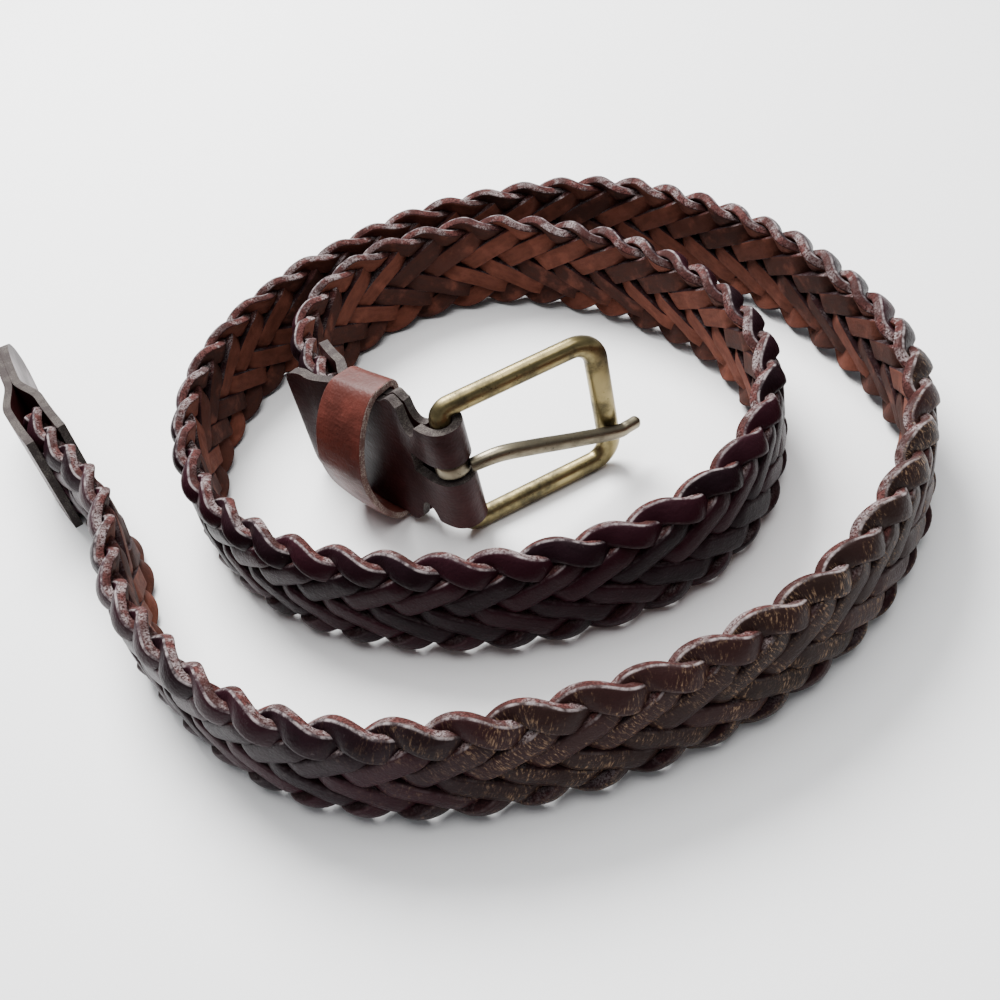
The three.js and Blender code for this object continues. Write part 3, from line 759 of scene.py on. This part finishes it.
def strand_rings(strand, settings):
    """A strand as its section carried along its centre, in the flat braid, then bent to the belt.

    In the flat braid x is the distance, y the height and z the depth. The section's x axis stays
    in the plane of the braid, square to the centre line, and its y axis is the cross product. Both
    roll about the centre line near the edges, where a strand leans over to the coil's inside.
    Also the values at the strand's points, and its places along and round for the UVs.
    """
    count, width = settings.strand_count, settings.strand_width
    length = braid_end - braid_start
    distance = np.linspace(braid_start, braid_end, int(length / STATION_STEP))
    phases = np.random.default_rng(SWAY_SEED + strand).uniform(0, 2 * math.pi, len(SWAY_LENGTHS))
    waves = (np.sin(distance / (step * MM) + phase) for step, phase in zip(SWAY_LENGTHS, phases))
    rise, more_rise, shift, turn, swell, more_turn = waves
    height, depth = strand_centre(strand, count, width, settings.strand_thickness, distance)
    height = height + STRAND_SWAY / 2 * (rise + more_rise)
    centre = np.stack([distance, height, depth + DEPTH_SWAY * shift], 1)
    along = unit(np.gradient(centre, axis=0))
    across = unit(np.stack([-along[:, 1], along[:, 0], np.zeros(len(distance))], 1))
    outward = np.cross(along, across)
    from_middle = 2 * height / (BELT_WIDTH - width)
    lean = np.sign(from_middle) * smoothstep(np.abs(from_middle), LEAN_START, 1)
    roll = ROLL_SWAY[0] * turn + ROLL_SWAY[1] * more_turn - settings.edge_lean * lean
    cos, sin = np.cos(roll)[:, None], np.sin(roll)[:, None]
    across, outward = across * cos + outward * sin, outward * cos - across * sin

    x, y, side = strand_profile(width, settings.strand_thickness).T
    flat = carry(centre, across, outward, x * (1 + WIDTH_SWAY * swell)[:, None], y[None])
    rings = strap_point(flat[..., 0], flat[..., 2], flat[..., 1])

    edge_x, edge_y = (np.roll(v, -1) - np.roll(v, 1) for v in (x, y))
    facing = unit(np.stack([-edge_y, edge_x], 1))
    # Upward-facing faces near the top: the mask for the painted highlight on the bevels and for
    # sparing the cut edges from painted shade
    up = across[:, 1:2] * facing[:, 0] + outward[:, 1:2] * facing[:, 1]
    low, high = (share * BELT_WIDTH for share in CROWN_HEIGHTS)
    crown = smoothstep(up, *CROWN_FACING) * smoothstep(flat[..., 1], low, high)
    start, full, fade, end = WORN_STRETCH
    share = (distance - braid_start) / length
    wear = smoothstep(share, start, full) * (1 - smoothstep(share, fade, end))
    tone = stretch_tones(strand, count, distance)
    values = {"side": side, "tone": tone[:, None], "crown": crown, "wear": wear[:, None]}
    values = {key: np.broadcast_to(data, rings.shape[:2]) for key, data in values.items()}
    return rings, values, (distance, np.linspace(0, 1, len(x) + 1))


def strand_group(name, strands, settings, material):
    """Several strands in one mesh."""
    shape = bmesh.new()
    for strand in strands:
        rings, values, uv = strand_rings(strand, settings)
        part = tube_piece(f"{name}_{strand}", rings, [], values=values, uv=uv).data
        shape.from_mesh(part)
        bpy.data.meshes.remove(part)
    merged = bpy.data.meshes.new(name)
    shape.to_mesh(merged)
    shape.free()
    merged.materials.append(material)
    return add_object(name, merged)


class BELT_OT_braid(bpy.types.Operator):
    """Plait the strap from flat strands"""

    bl_idname = "belt.braid"
    bl_label = "Braid"

    def execute(self, context):
        s = context.scene.belt_braid
        colours = (s.grain, s.rim, s.cut, s.flesh, s.flesh_dark, s.worn)
        material = strand_leather("strand leather", *(tuple(colour) for colour in colours))
        groups = 3
        for group in range(groups):
            strands = range(group, s.strand_count, groups)
            piece = strand_group(f"strands_{group + 1}", strands, s, material)
            dress(piece, "strap", "braid_leather", "braid")
        return {"FINISHED"}


# Leather strips


def layer_offset(distance):
    """How far a tab layer's middle lies from the strap's centre line."""
    pinched = lerp(fold_offset, pinch_offset, smoothstep(distance, 0, TAB_PINCH_START))
    return lerp(pinched, braid_offset, smoothstep(distance, TAB_PINCH_END, BRAID_TUCK))


def tab_edge(distance, length):
    """Height of the tab's rim over its middle: neck, notch, lobe, full width and end corners."""
    widens = smoothstep(distance, NOTCH_PLACE - NOTCH_RADIUS, NOTCH_PLACE)
    into_corner = np.maximum(0, TAB_CORNER - (length - distance))
    edge = lerp(neck_width, TAB_WIDTH, widens) / 2 - TAB_CORNER
    edge = edge + np.sqrt(np.maximum(TAB_CORNER**2 - into_corner**2, 0))
    from_notch = np.abs(distance - NOTCH_PLACE)
    inward = np.sqrt(np.maximum(1 - (from_notch / NOTCH_RADIUS) ** 2, 0))
    to_keeper = np.clip((distance - NOTCH_PLACE - NOTCH_RADIUS) / lobe_length, 0, 1)
    edge = edge + TAB_LOBE * np.sin(math.pi * to_keeper) ** 2
    notched = np.minimum(edge, TAB_WIDTH / 2 - NOTCH_DEPTH * inward)
    return np.where(from_notch < NOTCH_RADIUS, notched, edge)


def tab_surface():
    """Middle surface of the folded strip: front layer, half turn round the bar, back layer.

    A row's height runs evenly from the slot's edge to the rim, so the slot falls on grid lines.
    Also the distance of each row, and the columns of cells between the slot's edges.
    """
    side_columns, slot_columns, fold_rows, corner_rows = 22, 7, 20, 9
    fine, fine_until, coarse, coarse_until = 0.5, 14, 0.9, 36  # rows, in mm
    near = [np.arange(0, fine_until, fine), np.arange(fine_until, coarse_until, coarse)]
    slot = (PRONG_RAISE - slot_half, PRONG_RAISE + slot_half)
    sheets = []
    for side, length in ((1, TAB_FRONT_LENGTH), (-1, TAB_BACK_LENGTH)):
        far = np.arange(coarse_until * MM, length - TAB_CORNER, coarse * MM)
        corner = np.sin(np.linspace(0, math.pi / 2, corner_rows))
        ends = length - TAB_CORNER * (1 - corner)
        distance = np.unique(np.concatenate([np.concatenate(near) * MM, far, ends]))
        flare = TAB_FLARE * smoothstep(distance, BRAID_TUCK, length) if side > 0 else 0
        rim = tab_edge(distance, length)[:, None]
        lower = lerp(slot[0], -rim, np.linspace(1, 0, side_columns))
        inside = np.broadcast_to(np.linspace(*slot, slot_columns), (len(rim), slot_columns))
        upper = lerp(slot[1], rim, np.linspace(0, 1, side_columns))
        rise = np.concatenate([lower, inside[:, 1:-1], upper], 1)
        offset = side * (layer_offset(distance) + flare)
        sheets.append((distance, strap_point(distance[:, None], offset[:, None], rise)))
    (front_d, front), (back_d, back) = sheets
    point, along, out = route.at(np.array(0.0))
    angle = np.linspace(0, math.pi, fold_rows)[1:-1, None]
    ring = point + fold_offset * (np.cos(angle) * out - np.sin(angle) * along)
    fold = np.stack(np.broadcast_arrays(ring[:, :1], ring[:, 1:], front[:1, :, 2]), -1)
    surface = np.concatenate([front[::-1], fold, back])
    distance = np.concatenate([front_d[::-1], np.zeros(len(ring)), back_d])
    return surface, distance, range(side_columns - 1, side_columns + slot_columns - 2)


class BELT_OT_tab(bpy.types.Operator):
    """Fold the leather strip that holds the buckle"""

    bl_idname = "belt.tab"
    bl_label = "Buckle tab"

    def execute(self, context):
        s = context.scene.belt_leather
        surface, distance, slot_columns = tab_surface()
        quads, row, column = grid_quads(*surface.shape[:2])
        reach = np.maximum(distance[row], distance[row + 1])
        in_slot = (reach <= SLOT_LENGTH + SAME_PLACE) & np.isin(column, slot_columns)
        materials = strap_leathers("tab", s.tab, *TAB_LOOK, tint(s.edge, 0.2), DARK_EDGE)
        piece = make_piece("tab_strip", surface, quads[~in_slot].tolist(), materials)
        thicken(piece, TAB_THICKNESS, TAB_BEVEL)
        dress(piece, "strap", "tab_leather", "buckle_tab")
        return {"FINISHED"}


def arc(centre, radius, start, count):
    """Places on a quarter circle from an angle in degrees, up to its end, which is left out."""
    angle = np.radians(np.linspace(start, start + 90, count, endpoint=False))
    return np.array(centre) + radius * np.stack([np.cos(angle), np.sin(angle)], 1)


def line(a, b, count):
    """Places from a up to b, which is left out."""
    t = np.linspace(0, 1, count, endpoint=False)[:, None]
    return lerp(np.array(a), np.array(b), t)


def keeper_outline(grow):
    """The loop in its own plane, x out of the coil and y up: a flat back and a bowed front."""
    inside = pinch_offset + TAB_THICKNESS / 2 + 2 * GAP
    back, front = -inside - grow, inside + grow
    top = TAB_WIDTH / 2 + 2 * GAP + grow
    corner = KEEPER_CORNER + grow
    shoulder, middle = front + KEEPER_SHOULDER, front + KEEPER_BOW
    bow, reach = front + KEEPER_HANDLES[0] * KEEPER_BOW, KEEPER_HANDLES[1] * top
    corner_steps, edge_steps, wall_steps = 6, 5, 26
    lower = ((front - corner, -top), (shoulder, -top), (bow, -reach), (middle, 0))
    upper = ((middle, 0), (bow, reach), (shoulder, top), (front - corner, top))
    return np.concatenate([
        arc((back + corner, -top + corner), corner, 180, corner_steps),
        line((back + corner, -top), (front - corner, -top), edge_steps),
        bezier(lower, wall_steps),
        bezier(upper, wall_steps),
        line((front - corner, top), (back + corner, top), edge_steps),
        arc((back + corner, top - corner), corner, 90, corner_steps),
        line((back, top - corner), (back, -top + corner), wall_steps),
    ])


class BELT_OT_keeper(bpy.types.Operator):
    """Bend the loop that holds the belt's free end"""

    bl_idname = "belt.keeper"
    bl_label = "Keeper"

    def execute(self, context):
        s = context.scene.belt_leather
        outline = keeper_outline(KEEPER_WALL / 2)
        rows = 17
        distance = KEEPER_PLACE + KEEPER_WIDTH * np.linspace(-0.5, 0.5, rows)
        surface = strap_point(distance[:, None], outline[None, :, 0], outline[None, :, 1])
        quads, _, _ = grid_quads(*surface.shape[:2], wrap_columns=True)
        dark = (0.11, 0.045, 0.035)  # fibres in the raw edge
        materials = strap_leathers("keeper", s.keeper, *KEEPER_LOOK, tint(s.edge, 0.7), dark)
        piece = make_piece("keeper_loop", surface, quads.tolist(), materials)
        thicken(piece, KEEPER_WALL, KEEPER_BEVEL)
        dress(piece, "strap", "keeper_leather", "keeper")
        return {"FINISHED"}


class BELT_OT_end_tab(bpy.types.Operator):
    """Close the belt's free end between two plain leather layers"""

    bl_idname = "belt.end_tab"
    bl_label = "End tab"

    def execute(self, context):
        s = context.scene.belt_leather
        rows, columns = 60, 31
        crowding = 1.5  # above 1 the rows lie closer towards the tip
        blunt = 0.02  # least square of the width's share, so that the tip isn't a point
        along = END_TAB_LENGTH * (1 - (1 - np.linspace(0, 1, rows)) ** crowding)
        pocket_end = END_TAB_OVERLAP + GAP
        open_offset = BRAID_THICKNESS / 2 + GAP + END_TAB_THICKNESS / 2
        closed = smoothstep(along, pocket_end, pocket_end + END_TAB_TAPER)
        offset = lerp(open_offset, END_TAB_THICKNESS / 2 + END_TAB_SEAM, closed)[:, None]
        into_point = np.maximum(0, along - (END_TAB_LENGTH - END_TAB_POINT)) / END_TAB_POINT
        half_width = BELT_WIDTH / 2 * np.sqrt(np.maximum(blunt, 1 - into_point**2))
        distance = np.minimum(route.length - END_TAB_LENGTH + along, route.length)[:, None]
        rise = half_width[:, None] * np.linspace(-1, 1, columns)
        materials = strap_leathers("end tab", s.tab, *TAB_LOOK, tint(s.edge, 0.18), DARK_EDGE)
        quads, _, _ = grid_quads(rows, columns)
        for name, side in (("end_tab_front", 1), ("end_tab_back", -1)):
            surface = strap_point(distance, side * offset, rise)
            piece = make_piece(name, surface, quads.tolist(), materials)
            thicken(piece, END_TAB_THICKNESS, END_TAB_BEVEL)
            dress(piece, "strap", "end_leather", "end_tab")
        return {"FINISHED"}


# Buckle


def frame_rings():
    """The buckle's wire: an oval section carried round a rectangle with rounded corners."""
    half = (FRAME_HEIGHT - BAR_DIAMETER) / 2
    near = BAR_DIAMETER / 2 + GAP
    far = far_bar_place - FAR_CORNER
    bend_steps, straight_steps, sides = 16, 14, 24

    def bend(x, z, radius, start):
        """Quarter circle in the frame's plane from an angle in degrees, and the way out of it."""
        angle = np.radians(np.linspace(start, start + 90, bend_steps))
        away = np.stack([np.cos(angle), 0 * angle, np.sin(angle)], 1)
        return np.array([x, 0, z]) + radius * away, away

    corners = [
        bend(near, -half + near, near, 180),
        bend(far, -half + FAR_CORNER, FAR_CORNER, 270),
        bend(far, half - FAR_CORNER, FAR_CORNER, 0),
        bend(near, half - near, near, 90),
    ]
    middles, aways = [], []
    between = np.linspace(0, 1, straight_steps)[1:-1, None]
    for (middle, away), (next_middle, _) in zip(corners, corners[1:] + corners[:1]):
        middles += [middle, lerp(middle[-1], next_middle[0], between)]
        aways += [away, np.repeat(away[-1:], len(between), 0)]
    middle, away = np.concatenate(middles), np.concatenate(aways)
    width = lerp(BAR_DIAMETER, FAR_BAR_WIDTH, smoothstep(away[:, :1], 0.2, 1))
    thickness = lerp(ARM_THICKNESS, BAR_DIAMETER, smoothstep(-away[:, :1], 0.6, 1))
    x, y = oval(0.86, sides)
    return buckle_point(carry(middle, away, np.array([[0, 1, 0]]), x * width, y * thickness))


def prong_rows():
    """Stations of the prong in shares of the way to the far bar: along, out, drop and size."""
    rest = -(ARM_THICKNESS / 2 + GAP + PRONG_THICKNESS / 2)
    tip = (far_bar_place + FAR_BAR_WIDTH / 2 + PRONG_OVERHANG) / far_bar_place
    return np.array([
        (0.08, rest + 0.6 * MM, 0, 0.9),
        (0.25, rest - 0.9 * MM, -0.06, 1),
        (0.45, rest - 1.3 * MM, 0.14, 1),
        (0.7, rest - 0.8 * MM, 0.5, 0.97),
        (1, rest, 0.92, 0.93),
        ((1 + tip) / 2, rest + 0.4 * MM, 0.97, 0.85),
        (tip, rest + 1.2 * MM, 1, 0.86),
    ])


def prong_rings():
    """The prong's arm: an oval section carried along the rows, closed over a round tip."""
    rows = prong_rows()
    stations, sides = 90, 20
    place = np.linspace(0, len(rows) - 1, stations)
    share, out, drop, size = through_rows(rows, np.gradient(rows, axis=0), place).T
    centre = np.stack([share * far_bar_place, out, PRONG_RAISE - drop * PRONG_SAG], 1)
    along = unit(np.gradient(centre, axis=0))
    up = unit(np.array([0, 0, 1.0]) - along * along[:, 2:3])
    across = np.cross(up, along)
    to_tip = np.clip((centre[-1, 0] - centre[:, 0]) / PRONG_TIP, 0, 1)
    blunt = 0.002  # least square of the size at the tip
    scale = (size * np.sqrt(np.clip(1 - (1 - to_tip) ** 2, blunt, 1)))[:, None]
    x, y = oval(0.8, sides)
    x, y = x * PRONG_THICKNESS * scale, y * PRONG_WIDTH * scale
    return buckle_point(carry(centre, across, up, x, y))


def ring_rings():
    """The prong's ring round the bar: a flat bar with round corners turned about the bar."""
    stations, sides = 64, 20
    x, z = oval(0.5, sides)
    radius = BAR_DIAMETER / 2 + GAP + PRONG_WALL / 2 + x * PRONG_WALL
    height = PRONG_RAISE + z * PRONG_WIDTH
    angle = np.linspace(0, 2 * math.pi, stations, endpoint=False)[:, None]
    parts = np.broadcast_arrays(np.cos(angle) * radius, np.sin(angle) * radius, height)
    return buckle_point(np.stack(parts, -1))


class BELT_OT_buckle(bpy.types.Operator):
    """Bend the brass frame and its prong"""

    bl_idname = "belt.buckle"
    bl_label = "Buckle"

    def execute(self, context):
        s = context.scene.belt_buckle
        brass = aged_brass("aged brass", tuple(s.brass), tuple(s.patina), 0.3)
        grey = aged_brass("prong brass", tuple(s.prong), tint(s.prong, 0.6), 0.34)
        wire = tube_piece("frame_wire", frame_rings(), [brass], closed=True)
        dress(wire, "buckle", "frame_brass", "buckle_frame")
        arm = tube_piece("prong_arm", prong_rings(), [grey])
        ring = tube_piece("prong_ring", ring_rings(), [grey], closed=True)
        for piece in (arm, ring):
            dress(piece, "prong", "prong_brass", "prong")
        return {"FINISHED"}


# Stage


def area_light(name, place, size, power):
    """A round lamp that looks at the middle of the floor."""
    data = bpy.data.lights.new(name, "AREA")
    data.shape = "DISK"
    data.size = size
    data.energy = power
    light = add_object(name, data)
    light.location = place
    light.rotation_euler = (-Vector(place)).to_track_quat("-Z", "Y").to_euler()


class BELT_OT_stage(bpy.types.Operator):
    """Set the floor, the soft lights and the camera"""

    bl_idname = "belt.stage"
    bl_label = "Stage"

    def execute(self, context):
        s = context.scene.belt_stage
        corners = FLOOR_HALF * np.array([(-1, -1, 0), (1, -1, 0), (1, 1, 0), (-1, 1, 0)])
        paint = Shader("floor paint").finish(Base_Color=(*s.floor, 1), Roughness=0.6)
        floor = make_piece("floor", corners, [[0, 1, 2, 3]], [paint])
        world = bpy.data.worlds.new("studio")
        world.use_nodes = True
        sky = world.node_tree.nodes["Background"].inputs
        sky["Color"].default_value = SKY_COLOUR
        sky["Strength"].default_value = SKY_STRENGTH
        context.scene.world = world
        area_light("window", **WINDOW)
        area_light("overhead", **OVERHEAD)
        camera = add_object("camera", bpy.data.cameras.new("camera"))
        camera.data.sensor_width = SENSOR_WIDTH
        camera.data.lens = s.lens
        camera.data.clip_start = 0.01
        turned = Matrix.Rotation(math.pi / 2 - s.tilt, 4, "X") @ Matrix.Rotation(s.roll, 4, "Z")
        place = (*(coil_centre + CAMERA_FROM_CENTRE), CAMERA_HEIGHT)
        camera.matrix_world = Matrix.Translation(place) @ turned
        context.scene.camera = camera
        return {"FINISHED"}


class BELT_PT_panel(bpy.types.Panel):
    """Lists the belt's pieces and their settings"""

    bl_label = "Braided belt"
    bl_space_type = "VIEW_3D"
    bl_region_type = "UI"
    bl_category = "Belt"

    def draw(self, context):
        scene = context.scene
        for operators, settings in (
            (("belt.braid",), scene.belt_braid),
            (("belt.tab", "belt.keeper", "belt.end_tab"), scene.belt_leather),
            (("belt.buckle",), scene.belt_buckle),
            (("belt.stage",), scene.belt_stage),
        ):
            box = self.layout.box()
            for operator in operators:
                box.operator(operator)
            for key in settings.__annotations__:
                box.prop(settings, key)


SETTINGS = {
    "belt_braid": BraidSettings,
    "belt_leather": LeatherSettings,
    "belt_buckle": BuckleSettings,
    "belt_stage": StageSettings,
}
CLASSES = (
    *SETTINGS.values(),
    BELT_OT_braid,
    BELT_OT_tab,
    BELT_OT_keeper,
    BELT_OT_end_tab,
    BELT_OT_buckle,
    BELT_OT_stage,
    BELT_PT_panel,
)


def register():
    """Adds the operators, the panel and the scene's settings."""
    for cls in CLASSES:
        bpy.utils.register_class(cls)
    for name, cls in SETTINGS.items():
        setattr(bpy.types.Scene, name, bpy.props.PointerProperty(type=cls))


def unregister():
    """Takes them away again."""
    for name in SETTINGS:
        delattr(bpy.types.Scene, name)
    for cls in reversed(CLASSES):
        bpy.utils.unregister_class(cls)


def main():
    """Builds the scene."""
    register()
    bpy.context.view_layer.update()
    bpy.ops.belt.stage()
    bpy.ops.belt.braid()
    bpy.ops.belt.tab()
    bpy.ops.belt.keeper()
    bpy.ops.belt.end_tab()
    bpy.ops.belt.buckle()


if __name__ == "__main__":
    main()
